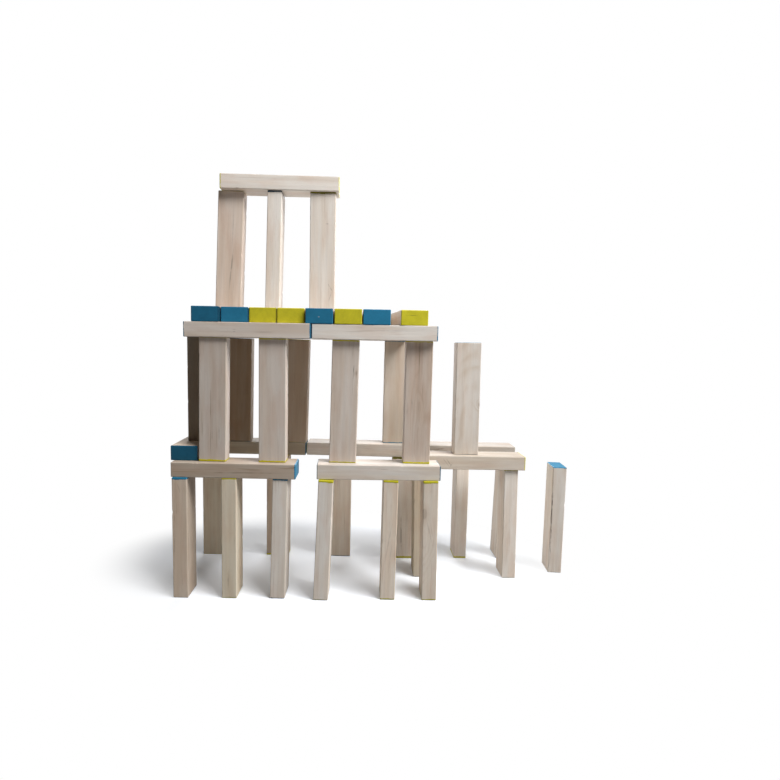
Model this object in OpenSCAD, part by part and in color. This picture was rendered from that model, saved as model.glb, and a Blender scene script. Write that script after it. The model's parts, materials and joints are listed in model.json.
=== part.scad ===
// A tumbling tower game: loose wooden blocks of one size, each with both ends painted,
// built up as a house of posts, beams and a deck. Every block is a piece of its own.
// Z is up and the floor is Z = 0. Y runs from the front row of posts to the rear row.

/* [Block] */
// Length of every block
block_len = 165; // [155:1:176]
// Width of every block
block_w = 36; // [33:0.5:38]
// Thickness of every block
block_t = 20; // [18:0.5:22]
// Chamfer along the edges of every block
edge_chamfer = 1.2; // [0.4:0.1:2]
// Length of the painted band at each end of a block
paint_len = 2.5; // [2:0.5:6]

/* [Clearances] */
// Gap between blocks laid side by side with nothing between them
side_clearance = 0.6; // [0.4:0.1:1]
// Gap between the two front beams, end to end
front_gap = 27; // [15:1:30]
// Gap between the left and the middle rear beam, end to end
rear_gap_left = 2; // [1.5:0.5:5]
// Gap between the middle and the right rear beam, end to end
rear_gap_right = 3.4; // [1.5:0.1:5]
// Gap between the two front deck beams, end to end
deck_beam_gap = 1; // [0.8:0.1:3]
// Gap between the two rear deck beams, end to end
rear_deck_gap = 1; // [0.6:0.1:2]

/* [Rows] */
// How much shorter than a block the step from the front row to the rear row is
rear_row_inset = 18; // [14:1:22]
// How far the rear row starts to the left of the front row
rear_row_shift = 4; // [0:0.5:6]
// How far the front deck beams start to the right of the front row
deck_beam_shift = 17.2; // [14:0.1:20]
// How far the left end of the side beam lies inside the right end of the front row
side_beam_overlap = 31.6; // [26:0.1:36]
// From the left end of the front row to the left end of the tower's top beam
tower_shift = 47.5; // [44:0.5:50]
// From the right end of the side beam to the centre of the lone post
lone_post_gap = 62; // [50:1:80]

/* [Front posts] */
// Centre of the first front post from the left beam's left end
front_post_1_inset = 11.8; // [11:0.1:20]
// Centre of the second front post from the left beam's middle
front_post_2_offset = -5.8; // [-15:0.1:15]
// Centre of the third front post from the left beam's right end
front_post_3_inset = 22.2; // [14:0.1:30]
// Centre of the fourth front post from the middle beam's left end
front_post_4_inset = 10.5; // [9:0.1:20]
// Centre of the fifth front post from the middle beam's middle
front_post_5_offset = 16.2; // [-15:0.1:25]
// Centre of the sixth front post from the middle beam's right end
front_post_6_inset = 11.4; // [9:0.1:20]

/* [Rear and side posts] */
// Centre of the first rear post from the left rear beam's left end
rear_post_1_inset = 19.3; // [18:0.1:30]
// Centre of the second rear post from the left rear beam's right end
rear_post_2_inset = 43.5; // [30:0.5:60]
// Centre of the third rear post from the middle rear beam's left end
rear_post_3_inset = 54; // [30:0.5:70]
// Centre of the fourth rear post from the middle rear beam's right end
rear_post_4_inset = 9.7; // [8:0.1:14]
// Centre of the sixth rear post from the right rear beam's right end
rear_post_6_inset = 12; // [10:0.5:20]
// Centre of the left side post from the side beam's left end
side_post_1_inset = 14.6; // [11:0.1:20]
// Centre of the right side post from the side beam's right end
side_post_2_inset = 17.3; // [11:0.1:25]

/* [Upper posts] */
// How far the cross plank reaches past the left end of the front row
cross_overhang = 3.9; // [0:0.1:6]
// Gap between the cross plank and the front post beside it
cross_plank_front_gap = 3.4; // [2:0.1:6]
// Gap between the cross plank and the rear post beside it
cross_plank_rear_gap = 5.2; // [2:0.1:8]
// How far the corner post stands to the right of the cross plank's middle
corner_post_offset = 12.4; // [10:0.1:15]
// Centre of the second upper front post from the left front beam's right end
upper_front_post_2_inset = 32.8; // [26:0.1:40]
// Centre of the third upper front post from the middle front beam's left end
upper_front_post_3_inset = 34.9; // [30:0.1:45]
// Centre of the fourth upper front post from the middle front beam's right end
upper_front_post_4_inset = 31.5; // [26:0.1:40]
// Centre of the second upper rear post from the left rear beam's right end
upper_rear_post_2_inset = 15.5; // [14:0.1:18]
// Centre of the third upper rear post from the middle rear beam's right end
upper_rear_post_3_inset = 25.5; // [20:0.1:40]
// How far past that second upper rear post's middle the left rear deck beam ends
rear_deck_joint_offset = 6.7; // [3:0.1:9]
// Centre of the lone upper post from the side beam's middle
side_upper_post_offset = -3.7; // [-10:0.1:10]

/* [Deck] */
// Left side of the first deck plank from the front row's left end
deck_start = 27.5; // [24:0.5:30]
// Gap between the fourth and fifth planks at the front
deck_gap_4 = 1.6; // [1:0.1:3]
// Gap between the fifth and sixth planks at the front
deck_gap_5 = 1.8; // [0.8:0.1:3]
// Gap between the sixth and seventh planks at the front
deck_gap_6 = 1.4; // [0.8:0.1:3]
// Gap between the seventh and eighth planks at the front
deck_gap_7 = 13.2; // [8:0.1:16]

/* [Tower] */
// Centre of the first tower post from the top beam's left end
tower_post_1_inset = 11.3; // [9:0.1:20]
// Centre of the second tower post from the top beam's middle
tower_post_2_offset = -8.7; // [-15:0.1:15]
// Centre of the third tower post from the top beam's right end
tower_post_3_inset = 22.1; // [18:0.1:30]

/* [Leans] */
// Lean of the third front post, in degrees to the right
front_post_3_lean = 1.1; // [-2:0.1:2]
// Lean of the fourth front post
front_post_4_lean = 1.9; // [-2:0.1:2.5]
// Lean of the fifth front post
front_post_5_lean = 0.4; // [-2:0.1:2]
// Lean of the sixth front post
front_post_6_lean = -0.7; // [-2:0.1:2]
// Lean of the sixth rear post
rear_post_6_lean = 1.3; // [-2:0.1:2]
// Lean of the left side post
side_post_1_lean = -1.2; // [-2:0.1:2]
// Lean of the right side post
side_post_2_lean = -1.1; // [-2:0.1:2]
// Lean of the first upper front post
upper_front_post_1_lean = 0.6; // [-1:0.1:1]
// Lean of the third upper front post
upper_front_post_3_lean = 0.8; // [-1.5:0.1:1.5]
// Lean of the first upper rear post
upper_rear_post_1_lean = 0.8; // [-1.5:0.1:1.5]
// Lean of the second upper rear post
upper_rear_post_2_lean = 1.2; // [-1.5:0.1:1.5]
// Lean of the lone upper post
side_upper_post_lean = -0.5; // [-1.5:0.1:1.5]
// Lean of the first tower post
tower_post_1_lean = 1.9; // [-2:0.1:2]
// Lean of the second tower post
tower_post_2_lean = 1.2; // [-2:0.1:2]

/* [Turns] */
// Turn of the middle front beam, in degrees anticlockwise seen from above
front_beam_middle_turn = 1.8; // [-2.5:0.1:2.5]
// Turn of the middle rear beam
rear_beam_middle_turn = -1.6; // [-2.5:0.1:2.5]
// Turn of the side beam
side_beam_turn = 0.9; // [-2:0.1:2]
// Turn of the second upper rear post
upper_rear_post_2_turn = -2.4; // [-4:0.1:4]
// Turn of the lone upper post
side_upper_post_turn = 2.8; // [-4:0.1:4]
// Turn of the second tower post
tower_post_2_turn = 1.7; // [-3:0.1:3]
// Turn of the top beam
top_beam_turn = 2.2; // [-3:0.1:3]
// Turn of the lone post
lone_post_turn = -4.5; // [-20:0.5:-1]

/* [Hidden] */
wood = [0.82, 0.74, 0.62];
blue = [0.11, 0.42, 0.56];
lime = [0.66, 0.64, 0.12];

// Heights of the levels, each resting on the one below
beam_z = block_len;
upper_z = beam_z + block_t;
corner_z = upper_z + block_t;
deck_beam_z = upper_z + block_len;
deck_z = deck_beam_z + block_t;
tower_z = deck_z + block_t;
top_z = tower_z + block_len;

// Centre lines of the rows
rear_y = block_len - rear_row_inset;
middle_y = rear_y / 2;

// Centres of the beams along X, from the left end of the front row
front_left_x = block_len / 2;
front_middle_x = front_left_x + block_len + front_gap;
front_right_end = front_middle_x + block_len / 2;
rear_left_x = block_len / 2 - rear_row_shift;
rear_middle_x = rear_left_x + block_len + rear_gap_left;
rear_right_x = rear_middle_x + block_len + rear_gap_right;
side_x = front_right_end - side_beam_overlap + block_len / 2;
deck_left_x = block_len / 2 + deck_beam_shift;
deck_right_x = deck_left_x + block_len + deck_beam_gap;
top_x = block_len / 2 + tower_shift;
lone_x = side_x + block_len / 2 + lone_post_gap;

// The cross plank lies flush with the left end of the front row but for a little
cross_x = block_w / 2 - cross_overhang;
cross_right = cross_x + block_w / 2;

// The second upper rear post carries the joint of the two rear deck beams
rear_joint_post_x = rear_left_x + block_len / 2 - upper_rear_post_2_inset;
rear_deck_left_x = rear_joint_post_x + rear_deck_joint_offset - block_len / 2;
rear_deck_right_x = rear_deck_left_x + block_len + rear_deck_gap;

// Deck planks: gaps between neighbours at the front, and how far each plank's centre lies
// behind the middle of the rows. The planks fan out so that their rear ends stay in touch.
deck_gaps = [side_clearance, side_clearance, side_clearance, deck_gap_4, deck_gap_5, deck_gap_6, deck_gap_7];
deck_setback = [-4.3, 3, 5, 5, 0, 0, 0, 0];

function deck_left(i) = i == 0 ? deck_start : deck_left(i - 1) + block_w + deck_gaps[i - 1];
function deck_swing(i) = i == 0 ? 0 : deck_swing(i - 1) + max(0, deck_gaps[i - 1] - side_clearance);
function deck_turn(i) = asin(deck_swing(i) / block_len);

// Half of a turned block's reach along Y, less what the chamfer takes off
function half_reach(l, w, turn) = (l / 2 - edge_chamfer) * sin(abs(turn)) + w / 2 * cos(turn);

// A leaning post stands and bears on its edges, so it is cut to keep its level's height,
// to a hundredth of a millimetre
function level_len(w, lean) = (block_len - (w - 2 * edge_chamfer) * sin(abs(lean))) / cos(lean);
function post_len(w, lean) = floor(100 * level_len(w, lean) + 0.001) / 100;

// Setbacks of the pieces from the centre line of their row
front_post_setback = [-2, 0, 1.7, -0.7, 4.8, 5.5];
rear_post_setback = [-14, -12, -11, -14, -0.5, 3];
front_beam_setback = [0, 5.5];
rear_beam_setback = [0, 1, 1];
upper_front_setback = [0.5, 2, 8, 11.5];
upper_rear_setback = [-6, -6, 5];
deck_beam_setback = [4.7, 9.7];
rear_deck_setback = [-6.5, -2.5];
side_post_setback = [2, 4.7];
cross_setback = 2;
side_upper_setback = 2.5;
corner_post_y = 36;
tower_setback = -3.5;
tower_post_setback = [-4, -1, -5];
lone_post_setback = 26;

// The origin is the middle of the floor under the whole layout
left_end = rear_deck_left_x - block_len / 2;
right_end = lone_x + half_reach(block_w, block_t, lone_post_turn);
front_end = min([for (s = front_post_setback) s]) - block_w / 2;
rear_ends = [
    rear_y + rear_post_setback[5] + block_w / 2,
    rear_y + rear_beam_setback[1] + half_reach(block_len, block_w, rear_beam_middle_turn),
    middle_y + max(deck_setback) + block_len / 2,
];
origin_x = (left_end + right_end) / 2;
origin_y = (front_end + max(rear_ends)) / 2;

// A rectangle with its corners cut at 45 degrees
module chamfered_rectangle(a, b) {
    c = edge_chamfer;
    polygon([
        [c - a / 2, -b / 2], [a / 2 - c, -b / 2], [a / 2, c - b / 2], [a / 2, b / 2 - c],
        [a / 2 - c, b / 2], [c - a / 2, b / 2], [-a / 2, b / 2 - c], [-a / 2, c - b / 2],
    ]);
}

// One block, its length along X, centred on its own middle
module block_body(len) {
    intersection() {
        linear_extrude(height = block_t, center = true) chamfered_rectangle(len, block_w);
        rotate([90, 0, 0]) linear_extrude(height = block_w, center = true) chamfered_rectangle(len, block_t);
        rotate([90, 0, 90]) linear_extrude(height = len, center = true) chamfered_rectangle(block_w, block_t);
    }
}

// One solid: the wood, and the painted ends that cover its last few millimetres
module block(paint, len = block_len) {
    wood_len = len - paint_len;
    color(wood) intersection() {
        block_body(len);
        cube([wood_len, 2 * block_w, 2 * block_t], center = true);
    }
    for (side = [-1, 1]) {
        color(paint) intersection() {
            block_body(len);
            translate([side * len / 2, 0, 0]) cube([2 * paint_len, 2 * block_w, 2 * block_t], center = true);
        }
    }
}

// Moves a piece from the layout's own start to the part's origin
module place(x, y, z, turn = 0) {
    translate([x - origin_x, y - origin_y, z]) rotate([0, 0, turn]) children();
}

// A beam lies on its wide side along X
module beam(x, y, z, paint, turn = 0) {
    place(x, y, z + block_t / 2, turn) block(paint);
}

// A plank lies on its wide side along Y
module plank(x, y, z, paint, turn = 0) {
    place(x, y, z + block_t / 2, turn) rotate([0, 0, 90]) block(paint);
}

// A wide post stands with its wide side to the front
module wide_post(x, y, z, paint, lean = 0, turn = 0) {
    place(x, y, z + block_len / 2, turn) rotate([0, lean, 0]) rotate([0, 90, 90])
        block(paint, post_len(block_w, lean));
}

// A narrow post stands with its narrow side to the front
module narrow_post(x, y, z, paint, lean = 0, turn = 0) {
    place(x, y, z + block_len / 2, turn) rotate([0, lean, 0]) rotate([0, 90, 0])
        block(paint, post_len(block_t, lean));
}

// Floor level, front row: three posts under each front beam
module front_post_1() { narrow_post(front_post_1_inset, front_post_setback[0], 0, blue); }
module front_post_2() { narrow_post(front_left_x + front_post_2_offset, front_post_setback[1], 0, lime); }
module front_post_3() {
    narrow_post(block_len - front_post_3_inset, front_post_setback[2], 0, blue, front_post_3_lean);
}
module front_post_4() {
    narrow_post(front_middle_x - block_len / 2 + front_post_4_inset, front_post_setback[3], 0, lime,
        front_post_4_lean);
}
module front_post_5() {
    narrow_post(front_middle_x + front_post_5_offset, front_post_setback[4], 0, lime, front_post_5_lean);
}
module front_post_6() {
    narrow_post(front_right_end - front_post_6_inset, front_post_setback[5], 0, lime, front_post_6_lean);
}

// Floor level, rear row: two posts under each rear beam
module rear_post_1() {
    wide_post(rear_left_x - block_len / 2 + rear_post_1_inset, rear_y + rear_post_setback[0], 0, lime);
}
module rear_post_2() {
    wide_post(rear_left_x + block_len / 2 - rear_post_2_inset, rear_y + rear_post_setback[1], 0, lime);
}
module rear_post_3() {
    wide_post(rear_middle_x - block_len / 2 + rear_post_3_inset, rear_y + rear_post_setback[2], 0, blue);
}
module rear_post_4() {
    wide_post(rear_middle_x + block_len / 2 - rear_post_4_inset, rear_y + rear_post_setback[3], 0, lime);
}
module rear_post_5() { narrow_post(rear_right_x, rear_y + rear_post_setback[4], 0, lime); }
module rear_post_6() {
    narrow_post(rear_right_x + block_len / 2 - rear_post_6_inset, rear_y + rear_post_setback[5], 0, blue,
        rear_post_6_lean);
}

// Floor level, side table, and the post that stands by itself
module side_post_1() {
    narrow_post(side_x - block_len / 2 + side_post_1_inset, middle_y + side_post_setback[0], 0, lime,
        side_post_1_lean);
}
module side_post_2() {
    narrow_post(side_x + block_len / 2 - side_post_2_inset, middle_y + side_post_setback[1], 0, lime,
        side_post_2_lean);
}
module lone_post() { narrow_post(lone_x, middle_y + lone_post_setback, 0, blue, 0, lone_post_turn); }

// First beams, and the plank that crosses from the front row to the rear row
module front_beam_left() { beam(front_left_x, front_beam_setback[0], beam_z, blue); }
module front_beam_middle() {
    beam(front_middle_x, front_beam_setback[1], beam_z, blue, front_beam_middle_turn);
}
module rear_beam_left() { beam(rear_left_x, rear_y + rear_beam_setback[0], beam_z, blue); }
module rear_beam_middle() {
    beam(rear_middle_x, rear_y + rear_beam_setback[1], beam_z, lime, rear_beam_middle_turn);
}
module rear_beam_right() { beam(rear_right_x, rear_y + rear_beam_setback[2], beam_z, lime); }
module side_beam() { beam(side_x, middle_y, beam_z, lime, side_beam_turn); }
module cross_plank() { plank(cross_x, middle_y + cross_setback, upper_z, blue); }

// Upper posts
module upper_front_post_1() {
    wide_post(cross_right + cross_plank_front_gap + block_w / 2, upper_front_setback[0], upper_z, lime,
        upper_front_post_1_lean);
}
module upper_front_post_2() {
    wide_post(block_len - upper_front_post_2_inset, upper_front_setback[1], upper_z, lime);
}
module upper_front_post_3() {
    wide_post(front_middle_x - block_len / 2 + upper_front_post_3_inset, upper_front_setback[2], upper_z,
        lime, upper_front_post_3_lean);
}
module upper_front_post_4() {
    wide_post(front_right_end - upper_front_post_4_inset, upper_front_setback[3], upper_z, lime);
}
module upper_rear_post_1() {
    wide_post(cross_right + cross_plank_rear_gap + block_w / 2, rear_y + upper_rear_setback[0], upper_z,
        blue, upper_rear_post_1_lean);
}
module upper_rear_post_2() {
    wide_post(rear_joint_post_x, rear_y + upper_rear_setback[1], upper_z, lime, upper_rear_post_2_lean,
        upper_rear_post_2_turn);
}
module upper_rear_post_3() {
    wide_post(rear_middle_x + block_len / 2 - upper_rear_post_3_inset, rear_y + upper_rear_setback[2],
        upper_z, blue);
}
module corner_post() { wide_post(cross_x + corner_post_offset, corner_post_y, corner_z, lime); }
module side_upper_post() {
    wide_post(side_x + side_upper_post_offset, middle_y + side_upper_setback, upper_z, blue,
        side_upper_post_lean, side_upper_post_turn);
}

// Beams under the deck
module deck_beam_front_left() { beam(deck_left_x, deck_beam_setback[0], deck_beam_z, blue); }
module deck_beam_front_right() { beam(deck_right_x, deck_beam_setback[1], deck_beam_z, blue); }
module deck_beam_rear_left() { beam(rear_deck_left_x, rear_y + rear_deck_setback[0], deck_beam_z, lime); }
module deck_beam_rear_right() { beam(rear_deck_right_x, rear_y + rear_deck_setback[1], deck_beam_z, blue); }

// A deck plank turns about the middle of its front end
module deck_plank(i, paint) {
    front_y = middle_y + deck_setback[i] - block_len / 2;
    turn = deck_turn(i);
    plank(deck_left(i) + block_w / 2 * cos(turn) - block_len / 2 * sin(turn),
        front_y + block_w / 2 * sin(turn) + block_len / 2 * cos(turn), deck_z, paint, turn);
}
module deck_plank_1() { deck_plank(0, blue); }
module deck_plank_2() { deck_plank(1, blue); }
module deck_plank_3() { deck_plank(2, lime); }
module deck_plank_4() { deck_plank(3, lime); }
module deck_plank_5() { deck_plank(4, blue); }
module deck_plank_6() { deck_plank(5, lime); }
module deck_plank_7() { deck_plank(6, blue); }
module deck_plank_8() { deck_plank(7, lime); }

// The tower on the deck
module tower_post_1() {
    wide_post(top_x - block_len / 2 + tower_post_1_inset, middle_y + tower_post_setback[0], tower_z, lime,
        tower_post_1_lean);
}
module tower_post_2() {
    narrow_post(top_x + tower_post_2_offset, middle_y + tower_post_setback[1], tower_z, blue,
        tower_post_2_lean, tower_post_2_turn);
}
module tower_post_3() {
    wide_post(top_x + block_len / 2 - tower_post_3_inset, middle_y + tower_post_setback[2], tower_z, lime);
}
module top_beam() { beam(top_x, middle_y + tower_setback, top_z, lime, top_beam_turn); }

front_post_1();
front_post_2();
front_post_3();
front_post_4();
front_post_5();
front_post_6();
rear_post_1();
rear_post_2();
rear_post_3();
rear_post_4();
rear_post_5();
rear_post_6();
side_post_1();
side_post_2();
lone_post();
front_beam_left();
front_beam_middle();
rear_beam_left();
rear_beam_middle();
rear_beam_right();
side_beam();
cross_plank();
upper_front_post_1();
upper_front_post_2();
upper_front_post_3();
upper_front_post_4();
upper_rear_post_1();
upper_rear_post_2();
upper_rear_post_3();
corner_post();
side_upper_post();
deck_beam_front_left();
deck_beam_front_right();
deck_beam_rear_left();
deck_beam_rear_right();
deck_plank_1();
deck_plank_2();
deck_plank_3();
deck_plank_4();
deck_plank_5();
deck_plank_6();
deck_plank_7();
deck_plank_8();
tower_post_1();
tower_post_2();
tower_post_3();
top_beam();
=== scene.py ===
import json
import math
import random

import bmesh
import bpy
import numpy as np
from mathutils import Matrix, Vector, noise


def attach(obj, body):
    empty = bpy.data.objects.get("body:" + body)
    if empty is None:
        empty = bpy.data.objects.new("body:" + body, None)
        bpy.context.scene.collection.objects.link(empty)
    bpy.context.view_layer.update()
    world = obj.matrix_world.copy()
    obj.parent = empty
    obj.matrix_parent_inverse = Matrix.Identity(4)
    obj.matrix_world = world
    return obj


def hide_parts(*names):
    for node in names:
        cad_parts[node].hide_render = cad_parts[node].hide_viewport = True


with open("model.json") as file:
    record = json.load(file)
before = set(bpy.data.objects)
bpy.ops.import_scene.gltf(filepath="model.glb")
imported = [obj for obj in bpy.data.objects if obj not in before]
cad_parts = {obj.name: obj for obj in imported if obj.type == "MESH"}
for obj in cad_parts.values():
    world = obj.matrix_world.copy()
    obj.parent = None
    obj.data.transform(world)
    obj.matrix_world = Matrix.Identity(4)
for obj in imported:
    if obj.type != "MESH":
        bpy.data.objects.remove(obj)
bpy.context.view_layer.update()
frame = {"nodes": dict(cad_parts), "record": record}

MM = 0.001

# Normals that point the same way, or are square to each other, by their dot product
SAME_WAY, SQUARE_TO = 0.9999, 0.01

# Camera of the photograph: focal length and centre in pixels, place in metres, angles in degrees
PHOTO_SIDE = 780
FOCAL_PX = 512.99
CENTRE_PX = (362.73, 390.61)
CAMERA_AT = (-0.0207, -0.7539, 0.3475)
PITCH, ROLL, YAW = 5.409, 1.119, -0.286
SENSOR = 36.0

# Eased edges of the blocks, in millimetres: their width, the angles of their grid lines, and their
# radius as a share of the width, uneven along the block
EASE = 1.3
EASE_ANGLES = (15, 30, 45)
EASE_ROUND, EASE_UNEVEN = 0.86, 0.14
EASE_WAVES = (0.035, 0.05, 0.05)
SEED_STEP = 0.37

# Grid of the flat faces, and half of the air film between blocks that rest on each other
GRID_STEP = 6.0
AIR_FILM = 0.005

# Small dents in the long edges: how many, how far out as a share of the half length, how far they
# reach along the edge, how deep, their reach off the edge beside that, and their own grid lines
NICK_COUNT = (2, 4)
NICK_SPAN = 0.8
NICK_REACH = (1.2, 2.6)
NICK_DEPTH = (0.25, 0.6)
NICK_NARROW = 0.8
NICK_LINES = (-1.2, -0.6, 0.0, 0.6, 1.2)

# How a block lay in its log: how far off the pith, the ring spacing, and how much the log leans
PITH_REACH = (22, 75)
RING_SPACING = (3.0, 5.5)
LOG_LEAN = 0.05

# How far apart the blocks lie in the noises, and where a knot lies that a block doesn't have
LOG_SHIFT = 4000
BLOCK_SHIFT = 3000
FAR_AWAY = 60.0

# Paint creeps less where its band is narrow: the width from which it creeps fully, the least share
CREEP_FULL = 2.4
CREEP_LEAST = 0.1

# Bare wood tones, linear colours
TONES = {
    "cream": (0.79, 0.715, 0.615),
    "white": (0.81, 0.765, 0.70),
    "grey": (0.73, 0.66, 0.59),
    "pink": (0.75, 0.645, 0.555),
    "tan": (0.68, 0.58, 0.475),
    "olive": (0.68, 0.61, 0.485),
    "brown": (0.56, 0.44, 0.32),
}
PAINTS = {"wood_blue_ends": (0.028, 0.222, 0.385), "wood_lime_ends": (0.655, 0.60, 0.034)}

# What sets one block apart from the next: its tone, how light it is, how far the paint wraps
# round the lower and the upper (or left and right, front and rear) end, and how strong its
# rings and streaks are. How light a block is also holds painted shade and light: corner_post,
# upper_rear_post_1, rear_beam_left and rear_beam_right are darker for the shadow they sit in
# (partly also browner wood), and rear_post_4 to rear_post_6 lighter for light they don't get
BLOCKS = {
    "front_post_1": ("tan", 1.04, 0.5, 2.6, 0.5, 1.3),
    "front_post_2": ("olive", 1.15, 1.2, 1.6, 0.4, 0.7),
    "front_post_3": ("white", 1.04, 0.5, 1.8, 0.5, 0.5),
    "front_post_4": ("white", 1.07, 0.5, 2.6, 0.3, 0.4),
    "front_post_5": ("cream", 1.12, 1.8, 2.6, 1.0, 0.7),
    "front_post_6": ("cream", 1.05, 1.6, 3.0, 0.7, 0.7),
    "rear_post_1": ("olive", 1.28, 0.8, 2.0, 0.4, 0.6),
    "rear_post_2": ("tan", 1.00, 2.6, 0.3, 0.5, 0.6),
    "rear_post_3": ("cream", 0.94, 0.8, 2.0, 0.6, 1.2),
    "rear_post_4": ("white", 1.11, 3.4, 2.0, 0.5, 0.5),
    "rear_post_5": ("white", 1.12, 3.0, 2.0, 0.5, 0.5),
    "rear_post_6": ("white", 1.11, 1.0, 2.0, 0.5, 0.5),
    "side_post_1": ("olive", 0.94, 0.5, 1.4, 0.6, 0.6),
    "side_post_2": ("white", 1.12, 0.5, 1.7, 0.6, 0.7),
    "lone_post": ("white", 0.96, 0.5, 1.2, 0.4, 0.5),
    "front_beam_left": ("tan", 0.77, 0.5, 1.6, 0.5, 1.3),
    "front_beam_middle": ("white", 0.97, 0.9, 1.2, 0.4, 0.3),
    "rear_beam_left": ("olive", 0.73, 1.0, 0.6, 0.5, 0.8),
    "rear_beam_middle": ("white", 0.93, 0.5, 2.0, 0.5, 0.8),
    "rear_beam_right": ("white", 0.68, 2.0, 0.3, 0.6, 0.5),
    "side_beam": ("cream", 0.92, 1.4, 1.6, 1.0, 0.8),
    "cross_plank": ("tan", 1.15, 2.0, 2.0, 0.5, 0.8),
    "upper_front_post_1": ("grey", 0.87, 2.8, 0.4, 0.4, 1.4),
    "upper_front_post_2": ("grey", 0.96, 2.6, 1.6, 0.3, 0.4),
    "upper_front_post_3": ("grey", 1.02, 1.6, 1.6, 0.6, 0.6),
    "upper_front_post_4": ("pink", 0.90, 2.8, 1.2, 1.3, 1.4),
    "upper_rear_post_1": ("brown", 0.74, 0.4, 0.6, 0.6, 0.7),
    "upper_rear_post_2": ("tan", 0.84, 0.4, 0.8, 0.6, 1.0),
    "upper_rear_post_3": ("cream", 0.85, 1.4, 1.0, 0.5, 0.4),
    "corner_post": ("brown", 0.55, 0.4, 0.6, 0.6, 0.7),
    "side_upper_post": ("white", 0.93, 0.4, 0.4, 1.6, 0.4),
    "deck_beam_front_left": ("grey", 1.04, 1.4, 1.0, 0.5, 0.6),
    "deck_beam_front_right": ("white", 1.12, 0.8, 1.4, 0.5, 0.6),
    "deck_beam_rear_left": ("grey", 0.98, 2.0, 2.0, 0.5, 0.6),
    "deck_beam_rear_right": ("pink", 0.98, 2.0, 2.0, 0.5, 0.6),
    "deck_plank_1": ("grey", 1.00, 4.0, 2.4, 0.6, 0.6),
    "deck_plank_2": ("tan", 1.04, 4.2, 1.8, 0.5, 0.7),
    "deck_plank_3": ("cream", 0.98, 3.6, 2.2, 0.6, 0.5),
    "deck_plank_4": ("pink", 1.02, 3.8, 2.0, 0.6, 0.6),
    "deck_plank_5": ("grey", 1.02, 3.4, 1.6, 0.5, 0.5),
    "deck_plank_6": ("white", 0.98, 3.2, 2.2, 0.5, 0.6),
    "deck_plank_7": ("tan", 1.04, 3.0, 2.0, 0.6, 0.6),
    "deck_plank_8": ("white", 1.12, 1.2, 2.4, 0.6, 0.5),
    "tower_post_1": ("pink", 1.12, 2.0, 0.5, 0.6, 1.2),
    "tower_post_2": ("white", 1.13, 1.6, 2.4, 0.4, 0.5),
    "tower_post_3": ("white", 1.13, 2.0, 2.3, 0.3, 0.4),
    "top_beam": ("white", 1.12, 1.6, 0.9, 0.3, 0.4),
}

# Knots: centre and half sizes along the block, across its width and through its thickness, and
# how dark the heart is
KNOTS = {
    "front_post_6": ((38, -18, -8.0), (8.0, 12, 4.0), 0.28),
    "upper_front_post_3": ((39, 15, -9), (3.4, 1.0, 4), 0.40),
    "side_upper_post": ((-8, 18.5, -8), (3.0, 2.2, 9), 0.50),
    "upper_front_post_4": ((-20, 14, 6), (5, 4, 14), 0.25),
    "rear_post_4": ((-50, -16, -8), (6, 4, 12), 0.5),
    "deck_plank_4": ((30, 4, 8), (3.6, 2.8, 9), 0.75),
    "front_post_5": ((-20, -8, 12), (5, 20, 3), 0.4),
    "deck_beam_rear_left": ((22, 6, 8), (4, 3, 8), 0.7),
    "rear_beam_middle": ((-30, 8, 9), (3.4, 3, 8), 0.7),
}

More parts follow.
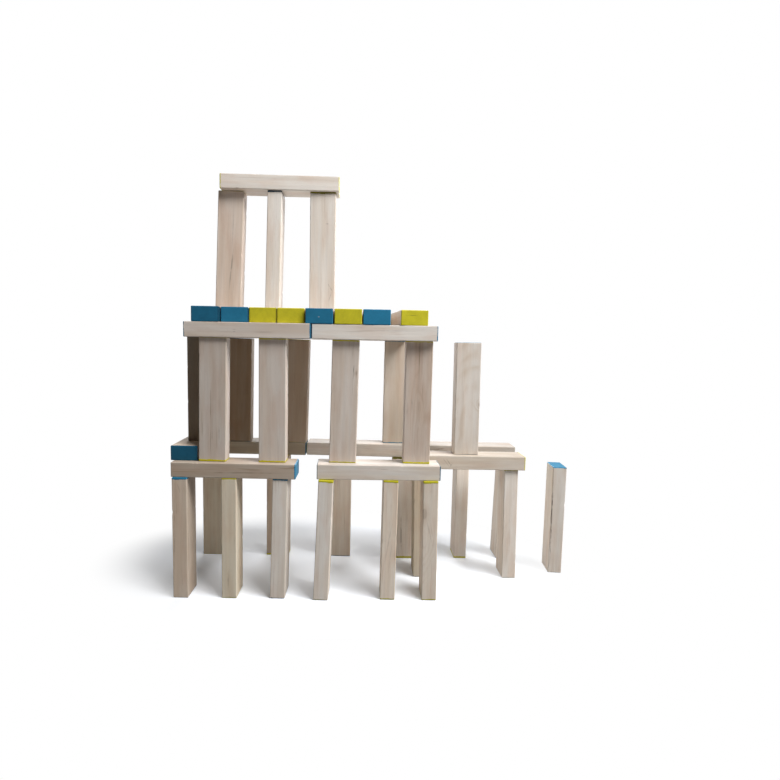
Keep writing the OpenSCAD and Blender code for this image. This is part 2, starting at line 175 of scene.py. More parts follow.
# Dark lines, up to three on a block: centre and half sizes along, across and through, the rise of
# the line across and through per unit along, and how dark it is, or with a minus how far the
# paint is scraped off
MARKS = {
    "lone_post": [((-2, -18, -8.4), (84, 3, 1.1), (0, -0.012), 1.0)],
    "front_beam_left": [((10, -18, -2.2), (74, 4, 1.5), (0, 0.012), 0.40),
                        ((-30, -18, 1.2), (40, 4, 0.6), (0, 0), 0.35),
                        ((79, -17, 6.6), (9, 6, 1.6), (0, 0), 0.60)],
    "front_beam_middle": [((5, -18, 4.8), (14, 4, 0.7), (0, -0.047), 0.28)],
    "rear_beam_right": [((-41, -18, 4), (14, 5, 1.6), (0, 0.12), 0.8)],
    "side_beam": [((-33.5, -18, 0), (6.5, 5, 1.1), (0, -1.28), 0.45),
                  ((-29.3, -18, 0), (6.0, 5, 1.1), (0, -1.41), 0.50),
                  ((-26.6, -18, -4.2), (3.0, 5, 1.3), (0, 1.4), 0.45)],
    "tower_post_1": [((-25, 3.4, -10), (40, 1.6, 4), (0.079, 0), 0.45),
                     ((32, 4, -10), (34, 0.9, 4), (0.02, 0), 0.25)],
    "tower_post_3": [((39, 6, -10), (1.2, 2.4, 3), (0, 0), 0.50),
                     ((-49, 11.5, -10), (7, 1.0, 3), (-0.6, 0), 0.45),
                     ((-62, 11.5, -10), (8, 0.9, 3), (0.28, 0), 0.35)],
    "deck_plank_8": [((-82.5, -4, 3), (3, 11, 0.6), (0, 0), 0.75)],
    # The first mark of deck_plank_5 is painted shade below its scraped spot
    "deck_plank_5": [((-82.5, 0.3, -2.6), (3, 1.8, 0.8), (0, 0), 0.80),
                     ((-82.5, -0.5, -1.0), (3, 1.7, 1.2), (0, 0), -0.60)],
    "deck_plank_2": [((-82.5, -0.4, 3.2), (3, 0.9, 1.3), (0, 0), 0.50)],
    "deck_beam_front_left": [((-16.5, -18, 0.6), (3.5, 4, 0.5), (0, 0), 0.60),
                             ((-16.5, -18, -2.3), (3.5, 4, 0.5), (0, 0), 0.50),
                             ((24, -18, -2.0), (20, 4, 0.7), (0, 0), 0.22)],
    "deck_beam_front_right": [((20, -18, 2.6), (42, 4, 0.6), (0, 0), 0.30)],
    "upper_front_post_1": [((8, 12.8, -10), (10, 0.7, 3), (0, 0), 0.30),
                           ((-46, 9, -10), (12, 0.9, 3), (0, 0), 0.50),
                           ((-47, -0.3, -10), (9, 0.8, 3), (0, 0), 0.45)],
    "upper_front_post_3": [((45, 11.3, -10), (6.5, 1.0, 3), (0.05, 0), 0.55)],
    "upper_front_post_4": [((-4, -7.9, -10), (13, 0.9, 3), (-0.028, 0), 0.55),
                           ((-9, -14.4, -10), (12, 0.9, 3), (0, 0), 0.45),
                           ((-4, 1.4, -10), (11, 0.8, 3), (0, 0), 0.35)],
    "front_post_1": [((0, -18, -7.4), (80, 4, 1.6), (0, 0.015), 0.32),
                     ((68, -18, -0.5), (8, 4, 1.2), (0, -0.3), 0.50)],
    "front_post_2": [((-59, -18, -1.5), (10, 4, 0.8), (0, 0), 0.45)],
    "front_post_5": [((-2, -18, -0.8), (40, 5, 1.7), (0, 0.16), 0.17),
                     ((-26, -18, 1.8), (30, 5, 1.4), (0, 0.10), 0.13)],
    "front_post_6": [((14, -18, -1.2), (28, 5, 1.8), (0, -0.247), 0.17),
                     ((10, -18, 3.0), (24, 5, 1.2), (0, -0.20), 0.12)],
    "rear_post_4": [((-42, -1.3, -10), (38, 1.6, 3), (-0.027, 0), 0.50)],
}
NO_MARK = ((0, 0, 0), (1, 1, 1), (0, 0), 0.0)
MARK_NAMES = ("mark_1", "mark_2", "mark_3")

# Painted shade on the paint of the ends, where an end lies in shadow under a beam, the deck or a
# neighbour: how light the paint is where it isn't plain. On the deck planks and lone_post it
# partly sets the paint's own lightness too
PAINT_TONE_AND_SHADE = {
    "deck_plank_1": 0.63, "deck_plank_2": 0.90, "deck_plank_5": 0.82, "deck_plank_7": 1.0,
    "cross_plank": 0.45, "side_post_1": 0.3, "tower_post_2": 0.2, "rear_post_4": 0.9,
    "tower_post_3": 0.8, "front_post_1": 0.82, "front_post_2": 0.75, "front_post_4": 0.80,
    "front_post_5": 0.75, "front_post_6": 0.75, "deck_beam_front_left": 0.60,
    "deck_beam_front_right": 0.75, "rear_beam_left": 0.5, "front_beam_middle": 0.42,
    "side_post_2": 0.6, "lone_post": 0.9,
}

# Painted shade in the same way for the upper (or right, or rear) end where it differs
FAR_PAINT_SHADE = {"rear_post_4": 0.13, "tower_post_3": 0.38}

# Painted shade: how light the upper (or right, or rear) wide face is beside the rest, as it takes
# the most light
WIDE_FACE_SHADE = {
    "front_beam_left": 0.92, "front_beam_middle": 0.79, "side_beam": 0.75, "rear_beam_left": 0.85,
    "rear_beam_middle": 0.84, "front_post_1": 0.74, "front_post_3": 0.86, "tower_post_2": 0.84,
    "top_beam": 0.74, "deck_plank_1": 0.76, "deck_plank_2": 0.72, "deck_plank_3": 0.72,
    "deck_plank_4": 0.72, "deck_plank_5": 0.75, "deck_plank_6": 0.71, "deck_plank_7": 0.74,
    "deck_plank_8": 0.66, "deck_beam_front_left": 0.80, "deck_beam_front_right": 0.74,
    "deck_beam_rear_right": 0.80, "deck_beam_rear_left": 0.84,
}

# Painted shade in the same way on the right (or rear, or upper) narrow side, lit from the right
SIDE_FACE_SHADE = {
    "tower_post_1": 0.81, "tower_post_3": 0.80, "deck_plank_8": 0.80, "side_post_2": 0.92,
    "upper_front_post_4": 0.92, "upper_front_post_3": 0.92, "deck_plank_7": 0.9,
}

# Painted shade in the gaps between deck planks: the paint is laid onto the right narrow side of a
# front end, how far, and how light it is there
GAP_SHADE_REACH = {"deck_plank_1": 9.0, "deck_plank_2": 6.0, "deck_plank_3": 8.0}
GAP_SHADE_LEVEL = 0.38

# Where the log's pith passes a block with a curved figure: across its width and through its
# thickness at the middle, how much it leans both ways, and the ring spacing
FIGURES = {
    "side_upper_post": (12, 26, 0, 0.40, 12.7),
    "front_post_5": (-9.5, -8, 0.10, 0, 2.6),
    "front_post_6": (-27.5, -12, 0.25, 0, 3.2),
    "upper_front_post_4": (2, -5.2, 0, 0.12, 3.0),
}


# Block meshes

def main_axes(obj):
    """Centre, directions and half sizes of a block, longest first, from its largest faces."""
    points = np.array([obj.matrix_world @ v.co for v in obj.data.vertices])
    found = []
    for face in obj.data.polygons:
        normal = np.array(face.normal)
        for entry in found:
            if abs(np.dot(entry[0], normal)) > SAME_WAY:
                entry[1] += face.area
                break
        else:
            found.append([normal, face.area])
    found.sort(key=lambda entry: -entry[1])
    axes = []
    for normal, _ in found:
        if all(abs(np.dot(normal, other)) < SQUARE_TO for other in axes):
            axes.append(normal / np.linalg.norm(normal))
        if len(axes) == 3:
            break
    sized = []
    for axis in axes:
        if axis[np.argmax(abs(axis))] < 0:
            axis = -axis
        along = points @ axis
        sized.append(((along.max() - along.min()) / 2, (along.max() + along.min()) / 2, axis))
    sized.sort(key=lambda entry: -entry[0])
    centre = sum(middle * axis for _, middle, axis in sized)
    return centre, np.array([axis for _, _, axis in sized]), [half / MM for half, _, _ in sized]


def grid_lines(half, extra=()):
    """Places of the grid lines from one side to the other, close together on the eased edges."""
    flat = half - EASE
    count = max(2, round(2 * flat / GRID_STEP))
    inner = [flat * (2 * i / count - 1) for i in range(count + 1)]
    eased = [flat + EASE * math.tan(math.radians(a)) for a in EASE_ANGLES]
    return sorted(inner + [e for e in extra if abs(e) < flat] + eased + [-e for e in eased])


def eased_point(p, halves, seed):
    """Moves a point of the plain box onto the box with eased edges of a slightly uneven radius."""
    x, y, z = (c * wave for c, wave in zip(p, EASE_WAVES))
    wobble = noise.noise(Vector((x + seed, y, z + seed * SEED_STEP)))
    radius = EASE * (EASE_ROUND + EASE_UNEVEN * wobble)
    inner = [min(max(c, radius - h), h - radius) for c, h in zip(p, halves)]
    out = [c - i for c, i in zip(p, inner)]
    length = math.sqrt(sum(c * c for c in out)) or 1
    return [i + radius * c / length for i, c in zip(inner, out)]


def nicked(p, nicks, halves):
    """Presses small dents into the long edges."""
    for along, side_v, side_w, reach, depth in nicks:
        off = ((p[0] - along) / reach) ** 2
        off += ((p[1] - side_v * halves[1]) / (reach * NICK_NARROW)) ** 2
        off += ((p[2] - side_w * halves[2]) / (reach * NICK_NARROW)) ** 2
        push = depth * math.exp(-off)
        p = [p[0], p[1] - side_v * push, p[2] - side_w * push]
    return p


def weighted_normals(points, quads):
    """Normals of the points, each face counting by its area, so that flat faces stay flat."""
    a, b, c, d = (points[quads[:, i]] for i in range(4))
    across = np.cross(c - a, d - b)
    normals = np.zeros_like(points)
    for i in range(4):
        np.add.at(normals, quads[:, i], across * np.linalg.norm(across, axis=1)[:, None])
    return normals / np.linalg.norm(normals, axis=1)[:, None]


def block_points(halves, rng):
    """Points and quads of one block in its own millimetres."""
    nicks = []
    for _ in range(rng.randint(*NICK_COUNT)):
        along = rng.uniform(-NICK_SPAN, NICK_SPAN) * halves[0]
        side_v, side_w = rng.choice((-1, 1)), rng.choice((-1, 1))
        nicks.append((along, side_v, side_w, rng.uniform(*NICK_REACH), rng.uniform(*NICK_DEPTH)))
    extra = [n[0] + n[3] * line for n in nicks for line in NICK_LINES]
    lines = [grid_lines(halves[0], extra), grid_lines(halves[1]), grid_lines(halves[2])]
    seed = rng.uniform(0, 100)
    index, points, quads = {}, [], []

    def vertex(key):
        if key not in index:
            p = [lines[axis][key[axis]] for axis in range(3)]
            index[key] = len(points)
            points.append(nicked(eased_point(p, halves, seed), nicks, halves))
        return index[key]

    for axis in range(3):
        one, two = (axis + 1) % 3, (axis + 2) % 3
        for side in (0, len(lines[axis]) - 1):
            for i in range(len(lines[one]) - 1):
                for j in range(len(lines[two]) - 1):
                    corners = [(i, j), (i + 1, j), (i + 1, j + 1), (i, j + 1)]
                    if side == 0:
                        corners.reverse()
                    quad = []
                    for a, b in corners:
                        key = [0, 0, 0]
                        key[axis], key[one], key[two] = side, a, b
                        quad.append(vertex(tuple(key)))
                    quads.append(quad)
    return np.array(points), np.array(quads)


def store(mesh, name, values):
    layer = mesh.attributes.new(name, "FLOAT_VECTOR", "POINT")
    layer.data.foreach_set("vector", np.asarray(values, dtype=np.float32).ravel())


def within(points, centre, sizes, slopes=(0, 0)):
    """Place of each point in a stretched, slanted ball; inside it the length is under 1."""
    along = points[:, 0] - centre[0]
    across = points[:, 1] - centre[1] - slopes[0] * along
    through = points[:, 2] - centre[2] - slopes[1] * along
    return np.stack([along / sizes[0], across / sizes[1], through / sizes[2]], axis=1)


def store_grain(mesh, node, points, rng):
    """Where the block was sawn from the log: the pith lies to one side, rings about it."""
    angle = rng.uniform(0, 2 * math.pi)
    reach = rng.uniform(*PITH_REACH)
    spacing = rng.uniform(*RING_SPACING)
    pith = (reach * math.cos(angle), reach * math.sin(angle))
    tilt = (rng.uniform(-LOG_LEAN, LOG_LEAN), rng.uniform(-LOG_LEAN, LOG_LEAN))
    if node in FIGURES:
        pith, tilt, spacing = FIGURES[node][:2], FIGURES[node][2:4], FIGURES[node][4]
    u, v, w = points.T
    log = [(v - pith[0] - tilt[0] * u) / spacing, (w - pith[1] - tilt[1] * u) / spacing,
           u + rng.uniform(-LOG_SHIFT, LOG_SHIFT)]
    store(mesh, "log_uvw", np.stack(log, axis=1))
    shift = [rng.uniform(-BLOCK_SHIFT, BLOCK_SHIFT) for _ in range(3)]
    store(mesh, "block_uvw", points + np.array(shift))


def store_marks(mesh, node, points):
    """Knot and dark lines of the block."""
    count = len(points)
    knot = KNOTS.get(node)
    knot_uvw = within(points, *knot[:2]) if knot else np.full(points.shape, FAR_AWAY)
    store(mesh, "knot_uvw", knot_uvw)
    store(mesh, "knot_depth", np.tile((knot[2] if knot else 0.0, 0, 0), (count, 1)))
    marks = (MARKS.get(node, []) + [NO_MARK] * len(MARK_NAMES))[:len(MARK_NAMES)]
    for name, mark in zip(MARK_NAMES, marks):
        store(mesh, name, within(points, *mark[:3]))
    store(mesh, "mark_depths", np.tile([mark[3] for mark in marks], (count, 1)))


def store_colours(mesh, node, points, halves):
    """Depth inside the painted band with the painted shade of the plank gaps, nearness to an edge,
    lightness of the paint with its painted shade, and the tone with the painted shade of its
    brightest faces.
    """
    tone, lightness, low_band, high_band, ring_strength, streak_strength = BLOCKS[node]
    u, v, w = points.T
    from_low, from_high = u + halves[0], halves[0] - u
    # Painted shade in the plank gaps: the end's paint reaches onto the right narrow side
    gap_shade = np.where(v > halves[1] - EASE, GAP_SHADE_REACH.get(node, 0.0), 0.0)
    inside = np.maximum(np.maximum(low_band - from_low, high_band - from_high), gap_shade - from_low)
    gap = np.sort(np.stack([h - abs(c) for h, c in zip(halves, (u, v, w))], axis=1), axis=1)
    edge = np.clip(1 - gap[:, 1] / EASE, 0, 1)
    # Painted shade on the paint of an end, lower and upper end apart, darker still in the plank
    # gaps
    light = PAINT_TONE_AND_SHADE.get(node, 1.0)
    light = np.where(u > 0, FAR_PAINT_SHADE.get(node, light), light)
    light = light * np.where(gap_shade > 0, GAP_SHADE_LEVEL, 1.0)
    store(mesh, "paint", np.stack([inside, edge, light], axis=1))

    # Painted shade on the faces that take the most light, carried in the tone
    wide = np.where(w > halves[2] - EASE / 2, WIDE_FACE_SHADE.get(node, 1.0), 1.0)
    side = np.where(v > halves[1] - EASE / 2, SIDE_FACE_SHADE.get(node, 1.0), 1.0)
    store(mesh, "tone", np.outer(wide * side * lightness, TONES[tone]))
    creep = np.clip(np.where(u < 0, low_band, high_band) / CREEP_FULL, CREEP_LEAST, 1.0)
    strengths = [np.full(len(u), ring_strength), np.full(len(u), streak_strength), creep]
    store(mesh, "grain", np.stack(strengths, axis=1))


def build_block(node, obj, material):
    rng = random.Random(node)
    centre, axes, halves = main_axes(obj)
    halves = [half - AIR_FILM for half in halves]
    points, quads = block_points(halves, rng)
    if np.linalg.det(axes) < 0:
        quads = quads[:, ::-1]

    placed = centre + (points * MM) @ axes
    mesh = bpy.data.meshes.new(node + "_block")
    mesh.from_pydata(placed.tolist(), [], quads.tolist())
    mesh.shade_smooth()
    mesh.normals_split_custom_set_from_vertices(weighted_normals(placed / MM, quads).tolist())
    store_grain(mesh, node, points, rng)
    store_marks(mesh, node, points)
    store_colours(mesh, node, points, halves)

    piece = bpy.data.objects.new(node + "_block", mesh)
    bpy.context.scene.collection.objects.link(piece)
    mesh.materials.append(material)
    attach(piece, node)
    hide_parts(node)


# Materials

# Noises: how they are stretched along, across and through the block, their detail and roughness
NOISES = {
    "fibre": ((0.045, 1.5, 1.5), 4.0, 0.62),
    "stain": ((0.009, 0.085, 0.085), 2.0, 0.5),
    "bands": ((0.005, 0.17, 0.17), 2.0, 0.6),
    "blotch": ((0.020, 0.05, 0.05), 3.0, 0.55),
    "streak": ((0.012, 0.55, 0.55), 2.0, 0.55),
    "streak_breaks": ((0.03, 0.12, 0.12), 1.0, 0.5),
    "pore": ((0.16, 3.4, 3.4), 1.0, 0.5),
    "ring_warp": ((0.16, 0.16, 0.010), 2.0, 0.5),
    "ring_fade": ((0.012, 0.06, 0.06), 1.0, 0.5),
    "line_breaks": ((0.09, 0.16, 0.16), 2.0, 0.5),
    "speckle": ((0.9, 0.9, 0.9), 3.0, 0.6),
    "roll": ((0.20, 0.11, 0.11), 2.0, 0.5),
    "pit": ((2.4, 2.4, 2.4), 1.0, 0.5),
}

# Soft steps: from where to where in the value, and what they give at both ends
STEPS = {
    "stain": (0.34, 0.68, 0.0, 1.0),
    "bands": (0.28, 0.72, 0.95, 1.035),
    "blotch": (0.44, 0.68, 0.0, 1.0),
    "fibre": (0.22, 0.78, 0.965, 1.02),
    "streak": (0.61, 0.72, 0.0, 1.0),
    "streak_breaks": (0.42, 0.60, 0.0, 1.0),
    "pore": (0.66, 0.76, 0.0, 1.0),
    "ring_fade": (0.42, 0.66, 0.10, 1.0),
    "knot_halo": (2.6, 1.0, 0.0, 1.0),
    "knot_core": (1.35, 0.95, 0.0, 1.0),
    "line": (1.40, 0.70, 0.0, 1.0),
    "line_breaks": (0.38, 0.58, 0.35, 1.0),
    "band": (-0.25, 0.30, 0.0, 1.0),
    "chip": (0.60, 0.68, 0.0, 1.0),
    "chip_edge": (0.35, 0.9, 0.0, 1.0),
    "roll": (0.25, 0.75, 0.92, 1.05),
    "pit": (0.66, 0.74, 0.0, 1.0),
    "rough_wood": (0.2, 0.8, 0.60, 0.74),
    "rough_paint": (0.3, 0.7, 0.40, 0.52),
    "gloss": (0.0, 1.0, 0.28, 0.14),
}

# Tints laid over the wood or the paint: colour, and how strong at most
TINTS = {
    "ring": ((0.80, 0.70, 0.60), 0.34),
    "stain": ((0.93, 0.88, 0.83), 1.0),
    "blotch": ((0.965, 0.92, 0.90), 1.0),
    "streak": ((0.60, 0.53, 0.46), 0.75),
    "pore": ((0.58, 0.50, 0.42), 0.32),
    "knot_halo": ((0.74, 0.64, 0.55), 0.40),
    "painted_ring": ((0.70, 0.72, 0.74), 0.12),
    "pit": ((0.45, 0.47, 0.5), 0.35),
}

# Colours that replace the wood's or the paint's: knots, dark lines and a painted highlight on the
# eased edges
KNOT_COLOUR = (0.20, 0.135, 0.085)
LINE_COLOUR = (0.15, 0.105, 0.075)
EDGE_HIGHLIGHT_COLOUR, EDGE_HIGHLIGHT = (0.90, 0.84, 0.74), 0.16
PAINTED_LINE_COLOUR, PAINTED_LINE = (0.02, 0.03, 0.03), 0.7

# One growth ring, as places and darknesses, how far the rings wander and how they bend at a knot
RING_CURVE = ((0.0, 0.55), (0.16, 0.10), (0.50, 0.12), (0.88, 1.0), (1.0, 0.55))
RING_WANDER, RING_BEND = 4.2, 2.6

# How fast a knot's pull on the fibres fades, how strong it is, and how frayed knots and lines are
KNOT_FADE, KNOT_PULL = -0.16, 2.2
KNOT_FRAY, LINE_FRAY = 0.5, 0.9

# How far fibres and stains let the paint creep, and how much of it is gone where it is chipped
CREEP_FIBRE, CREEP_STAIN = 2.6, 3.0
CHIPPED = 0.8

# Heights for the bump of bare wood and of paint, and its strength and depth in millimetres
FIBRE_HEIGHT, RING_HEIGHT, PORE_HEIGHT, LINE_DEPTH = 0.8, -0.25, 0.6, 2.5
SPECKLE_HEIGHT, PIT_HEIGHT, PAINT_THICKNESS = 0.7, -0.5, 0.8
BUMP_STRENGTH, BUMP_DEPTH = 0.45, 0.15
REFRACTION = 1.5


class Tree:
    """Short names for the shader nodes that the materials use."""

    def __init__(self, tree):
        self.nodes, self.links = tree.nodes, tree.links
        self.nodes.clear()

    def put(self, socket, value):
        if isinstance(value, bpy.types.NodeSocket):
            self.links.new(value, socket)
        else:
            socket.default_value = value

    def add(self, kind, inputs=None, **settings):
        node = self.nodes.new(kind)
        for name, value in settings.items():
            setattr(node, name, value)
        for name, value in (inputs or {}).items():
            self.put(node.inputs[name], value)
        return node

    def attribute(self, name):
        return self.add("ShaderNodeAttribute", attribute_name=name).outputs["Vector"]

    def math(self, operation, a, b=0.0):
        return self.add("ShaderNodeMath", {0: a, 1: b}, operation=operation).outputs[0]

    def times(self, a, b):
        return self.math("MULTIPLY", a, b)

    def rest(self, a):
        return self.math("SUBTRACT", 1.0, a)

    def vector(self, operation, a, b=(0, 0, 0)):
        node = self.add("ShaderNodeVectorMath", {0: a}, operation=operation)
        if operation == "SCALE":
            self.put(node.inputs["Scale"], b)
        elif operation != "LENGTH":
            self.put(node.inputs[1], b)
        return node.outputs["Value" if operation in ("LENGTH", "DOT_PRODUCT") else "Vector"]

    def split(self, vector):
        return self.add("ShaderNodeSeparateXYZ", {0: vector}).outputs

    def noise(self, name, vector):
        stretch, detail, roughness = NOISES[name]
        inputs = {"Vector": self.vector("MULTIPLY", vector, stretch), "Scale": 1.0,
                  "Detail": detail, "Roughness": roughness}
        return self.add("ShaderNodeTexNoise", inputs).outputs[0]

    def ramp(self, value, low, high, out_low=0.0, out_high=1.0):
        inputs = {"Value": value, "From Min": low, "From Max": high,
                  "To Min": out_low, "To Max": out_high}
        node = self.add("ShaderNodeMapRange", inputs, interpolation_type="SMOOTHSTEP")
        return node.outputs[0]

    def step(self, name, value):
        return self.ramp(value, *STEPS[name])

    def noise_step(self, name, vector):
        return self.step(name, self.noise(name, vector))

    def curve(self, value, stops):
        node = self.add("ShaderNodeValToRGB", {0: value})
        elements = node.color_ramp.elements
        while len(elements) < len(stops):
            elements.new(0.5)
        for element, (place, level) in zip(elements, stops):
            element.position = place
            element.color = (level, level, level, 1)
        return node.outputs[0]

    def mix(self, factor, a, b, blend="MIX"):
        node = self.add("ShaderNodeMix", {"Factor": factor}, data_type="RGBA", blend_type=blend)
        for name, value in (("A", a), ("B", b)):
            socket = next(s for s in node.inputs if s.name == name and s.type == "RGBA")
            if not isinstance(value, bpy.types.NodeSocket) and len(value) == 3:
                value = (*value, 1)
            self.put(socket, value)
        return next(s for s in node.outputs if s.type == "RGBA")

    def grey(self, value):
        return self.add("ShaderNodeCombineColor", {0: value, 1: value, 2: value}).outputs[0]

    def tint(self, name, amount, colour):
        shade, strength = TINTS[name]
        if strength != 1.0:
            amount = self.times(amount, strength)
        return self.mix(amount, colour, shade, "MULTIPLY")

    def lighten(self, colour, value):
        return self.mix(1.0, colour, self.grey(value), "MULTIPLY")


def marks_here(t, block, fibre):
    """How dark the marks of a block are at a point, and how far the paint is scraped off."""
    darkest, scraped = 0.0, 0.0
    breaks = t.noise_step("line_breaks", block)
    for name, depth in zip(MARK_NAMES, t.split(t.attribute("mark_depths"))):
        rough = t.math("ADD", t.vector("LENGTH", t.attribute(name)), t.times(fibre, LINE_FRAY))
        line = t.times(t.step("line", rough), t.times(depth, breaks))
        darkest = t.math("MAXIMUM", line, darkest)
        scraped = t.math("MAXIMUM", t.times(line, -1.0), scraped)
    return darkest, scraped


def wood_material(name, paint_colour):
    material = bpy.data.materials.new(name)
    material.use_nodes = True
    t = Tree(material.node_tree)
    log, block = t.attribute("log_uvw"), t.attribute("block_uvw")
    knot = t.attribute("knot_uvw")
    knot_depth = t.split(t.attribute("knot_depth"))[0]
    inside, edge, paint_shade = t.split(t.attribute("paint"))
    ring_strength, streak_strength, creep_reach = t.split(t.attribute("grain"))
    # The tone carries the painted shade of the faces that take the most light
    tone = t.attribute("tone")

    # Knot: the grain bends round it
    knot_far = t.vector("LENGTH", knot)
    near_knot = t.math("EXPONENT", t.times(t.times(knot_far, knot_far), KNOT_FADE))
    bent = t.vector("ADD", block, t.vector("SCALE", knot, t.times(near_knot, KNOT_PULL)))

    # Growth rings about the pith
    warp = t.noise("ring_warp", log)
    radius = t.vector("LENGTH", t.vector("MULTIPLY", log, (1, 1, 0)))
    phase = t.math("ADD", radius, t.times(warp, RING_WANDER))
    phase = t.math("ADD", phase, t.times(near_knot, RING_BEND))
    ring = t.curve(t.math("FRACT", phase), RING_CURVE)
    rings = t.times(t.times(ring, t.noise_step("ring_fade", block)), ring_strength)

    # Fibres, broad soft bands, blotches, a few dark streaks and short open pores along the grain
    fibre = t.noise("fibre", bent)
    stain = t.noise("stain", bent)
    streak = t.times(t.noise_step("streak", bent), t.noise_step("streak_breaks", block))
    pore = t.noise_step("pore", bent)
    wood = t.tint("ring", rings, tone)
    wood = t.tint("stain", t.step("stain", stain), wood)
    wood = t.lighten(wood, t.noise_step("bands", bent))
    wood = t.tint("blotch", t.noise_step("blotch", block), wood)
    wood = t.tint("streak", t.times(streak, streak_strength), wood)
    wood = t.lighten(wood, t.step("fibre", fibre))
    wood = t.tint("pore", pore, wood)
    wood = t.tint("knot_halo", t.step("knot_halo", knot_far), wood)
    core = t.step("knot_core", t.math("ADD", knot_far, t.times(fibre, KNOT_FRAY)))
    wood = t.mix(t.times(core, knot_depth), wood, KNOT_COLOUR)
    line, scraped = marks_here(t, block, fibre)
    wood = t.mix(line, wood, LINE_COLOUR)
    # Painted highlight: the eased edges are made paler, as if lit
    wood = t.mix(t.times(edge, EDGE_HIGHLIGHT), wood, EDGE_HIGHLIGHT_COLOUR)

    # Paint on the ends: it creeps along the fibres, and is chipped on the edges here and there
    creep = t.math("ADD", t.times(t.math("SUBTRACT", fibre, 0.5), CREEP_FIBRE),
                   t.times(t.math("SUBTRACT", stain, 0.5), CREEP_STAIN))
    band = t.step("band", t.math("ADD", inside, t.times(creep, creep_reach)))
    speckle = t.noise("speckle", block)
    chip = t.times(t.step("chip", speckle), t.step("chip_edge", edge))
    worn = t.math("MAXIMUM", t.times(chip, CHIPPED), scraped)
    covered = t.times(band, t.rest(worn))
    paint = t.lighten((*paint_colour, 1), t.noise_step("roll", block))
    # Painted shade: the paint is darkened where its end lies in shadow
    paint = t.lighten(paint, paint_shade)
    paint = t.tint("painted_ring", ring, paint)
    pit = t.noise_step("pit", block)
    paint = t.tint("pit", pit, paint)
    paint = t.mix(t.times(line, PAINTED_LINE), paint, PAINTED_LINE_COLOUR)
    colour = t.mix(covered, wood, paint)

    bare = t.rest(covered)
    roughness = t.math("ADD", t.times(t.step("rough_paint", speckle), covered),
                       t.times(t.step("rough_wood", fibre), bare))
    wood_height = t.math("SUBTRACT",
                         t.math("ADD", t.times(fibre, FIBRE_HEIGHT), t.times(ring, RING_HEIGHT)),
                         t.times(t.math("ADD", pore, t.times(line, LINE_DEPTH)), PORE_HEIGHT))
    paint_height = t.math("ADD", t.times(speckle, SPECKLE_HEIGHT), t.times(pit, PIT_HEIGHT))
    paint_height = t.math("ADD", paint_height, PAINT_THICKNESS)
    height = t.math("ADD", t.times(wood_height, bare), t.times(paint_height, covered))
    bump = t.add("ShaderNodeBump", {"Height": height, "Strength": BUMP_STRENGTH,
                                    "Distance": BUMP_DEPTH * MM}).outputs[0]
    shader = t.add("ShaderNodeBsdfPrincipled", {
        "Base Color": colour, "Roughness": roughness, "Normal": bump,
        "Specular IOR Level": t.step("gloss", covered), "IOR": REFRACTION,
    })
    t.add("ShaderNodeOutputMaterial", {"Surface": shader.outputs[0]})
    return material


def seen_directly(t):
    """1 for rays from the camera, in a gloss or through glass, else 0."""
    path = t.add("ShaderNodeLightPath").outputs
    seen = t.math("MAXIMUM", path["Is Camera Ray"], path["Is Glossy Ray"])
    return t.math("MAXIMUM", seen, path["Is Transmission Ray"])


# Floor and background
WHITE = (1, 1, 1, 1)
BLACK = (0, 0, 0, 1)
FLOOR_BELOW = 0.0002
FLOOR_RADIUS = 6.0
FLOOR_SEGMENTS = 96

# Floor colour to the eye, the grey that the object gets back from it, and its glow
FLOOR_SEEN = (0.892, 0.94, 0.993)
FLOOR_BOUNCE = 0.32
FLOOR_GLOW = 0.06

# Oval round the object in which the floor takes shadows, and where it fades to white
FADE_CENTRE = (-0.075, 0.040, 0.0)
FADE_REACH = (0.335, 0.20)
FADE_FROM, FADE_TO = 0.66, 1.12

# Lamps: azimuth and elevation in degrees, distance and size in metres, power in watts
LAMP_AIM = (0.0, 0.0, 0.22)
LAMP_COLOUR = (1.0, 0.985, 0.985)
LAMPS = (
    ("key_right", 70, 49, 2.0, 0.92, 31.2),
    ("key_front", 47, 55, 2.0, 0.92, 32.8),
    ("back_low", 184, 12, 1.8, 1.1, 31.0),
)


def floor_material():
    material = bpy.data.materials.new("floor_white")
    material.use_nodes = True
    t = Tree(material.node_tree)
    place = t.add("ShaderNodeNewGeometry").outputs["Position"]
    off = t.vector("MULTIPLY", t.vector("SUBTRACT", place, FADE_CENTRE),
                   (1 / FADE_REACH[0], 1 / FADE_REACH[1], 0))
    far = t.ramp(t.vector("LENGTH", off), FADE_FROM, FADE_TO)
    seen = t.add("ShaderNodeBsdfDiffuse", {"Color": (*FLOOR_SEEN, 1)}).outputs[0]
    glow = t.add("ShaderNodeEmission", {"Color": WHITE, "Strength": FLOOR_GLOW}).outputs[0]
    lit = t.add("ShaderNodeAddShader", {0: seen, 1: glow}).outputs[0]
    white = t.add("ShaderNodeEmission", {"Color": WHITE, "Strength": 1.0}).outputs[0]
    shown = t.add("ShaderNodeMixShader", {0: far, 1: lit, 2: white}).outputs[0]
    bounce_colour = (FLOOR_BOUNCE, FLOOR_BOUNCE, FLOOR_BOUNCE, 1)
    bounce = t.add("ShaderNodeBsdfDiffuse", {"Color": bounce_colour}).outputs[0]
    both = t.add("ShaderNodeMixShader", {0: seen_directly(t), 1: bounce, 2: shown}).outputs[0]
    t.add("ShaderNodeOutputMaterial", {"Surface": both})
    return material


def build_floor():
    bm = bmesh.new()
    bmesh.ops.create_circle(bm, cap_ends=True, segments=FLOOR_SEGMENTS, radius=FLOOR_RADIUS)
    bmesh.ops.translate(bm, verts=bm.verts, vec=(0, 0, -FLOOR_BELOW))
    mesh = bpy.data.meshes.new("floor")
    bm.to_mesh(mesh)
    bm.free()
    mesh.materials.append(floor_material())
    floor = bpy.data.objects.new("floor", mesh)
    bpy.context.scene.collection.objects.link(floor)


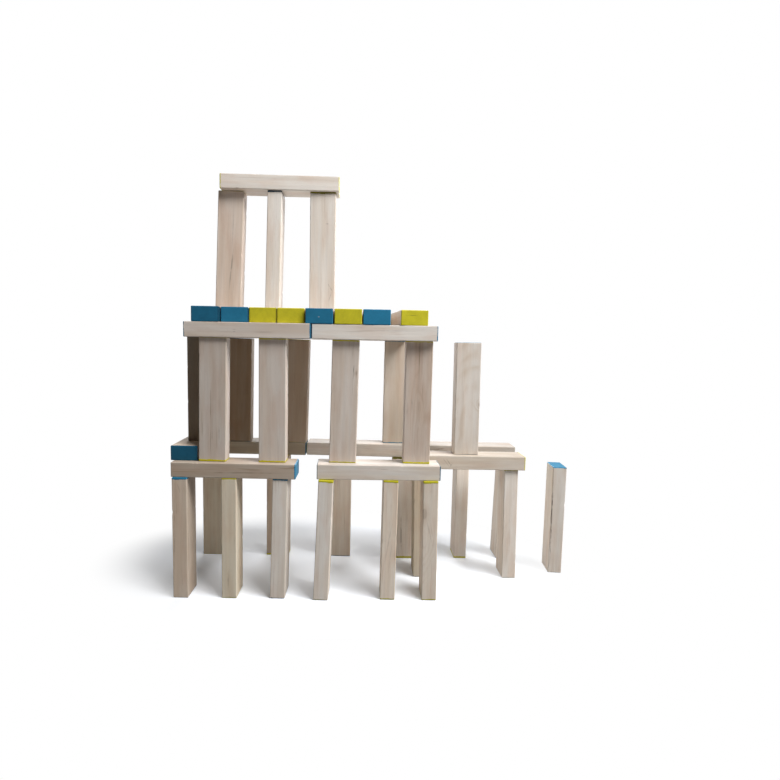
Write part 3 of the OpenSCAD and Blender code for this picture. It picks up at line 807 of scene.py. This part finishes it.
def build_world():
    world = bpy.data.worlds.new("studio")
    world.use_nodes = True
    bpy.context.scene.world = world
    t = Tree(world.node_tree)
    dim = t.add("ShaderNodeBackground", {"Color": BLACK, "Strength": 0.0}).outputs[0]
    white = t.add("ShaderNodeBackground", {"Color": WHITE, "Strength": 1.0}).outputs[0]
    both = t.add("ShaderNodeMixShader", {0: seen_directly(t), 1: dim, 2: white}).outputs[0]
    t.add("ShaderNodeOutputWorld", {"Surface": both})


def build_lamp(name, azimuth, elevation, distance, size, power):
    """A square soft lamp aimed at the object; azimuth 0 is in front and 90 to the right."""
    a, e = math.radians(azimuth), math.radians(elevation)
    towards = Vector((math.sin(a) * math.cos(e), -math.cos(a) * math.cos(e), math.sin(e)))
    light = bpy.data.lights.new(name, "AREA")
    light.shape = "SQUARE"
    light.size = size
    light.energy = power
    light.color = LAMP_COLOUR
    lamp = bpy.data.objects.new(name, light)
    lamp.location = Vector(LAMP_AIM) + towards * distance
    lamp.rotation_euler = towards.to_track_quat("Z", "Y").to_euler()
    lamp.visible_camera = False
    bpy.context.scene.collection.objects.link(lamp)


def build_camera():
    pitch, roll, yaw = (math.radians(a) for a in (PITCH, ROLL, YAW))
    forward = Vector((math.sin(yaw) * math.cos(pitch), math.cos(yaw) * math.cos(pitch),
                      -math.sin(pitch)))
    level = Vector((math.cos(yaw), -math.sin(yaw), 0))
    down = forward.cross(level)
    right = level * math.cos(roll) - down * math.sin(roll)
    below = level * math.sin(roll) + down * math.cos(roll)
    data = bpy.data.cameras.new("camera")
    data.sensor_width = SENSOR
    data.lens = FOCAL_PX * SENSOR / PHOTO_SIDE
    data.shift_x = (PHOTO_SIDE / 2 - CENTRE_PX[0]) / PHOTO_SIDE
    data.shift_y = (CENTRE_PX[1] - PHOTO_SIDE / 2) / PHOTO_SIDE
    camera = bpy.data.objects.new("camera", data)
    turn = Matrix((right, -below, -forward)).transposed().to_4x4()
    camera.matrix_world = Matrix.Translation(CAMERA_AT) @ turn
    bpy.context.scene.collection.objects.link(camera)
    bpy.context.scene.camera = camera


build_camera()
build_world()
build_floor()
for name, azimuth, elevation, distance, size, power in LAMPS:
    build_lamp(name, azimuth, elevation, distance, size, power)

slots = {part["node"]: part["material_slot"] for part in frame["record"]["subparts"]}
materials = {name: wood_material(name, colour) for name, colour in PAINTS.items()}
for node, obj in frame["nodes"].items():
    build_block(node, obj, materials[slots[node]])

bpy.context.scene.view_settings.view_transform = "Standard"
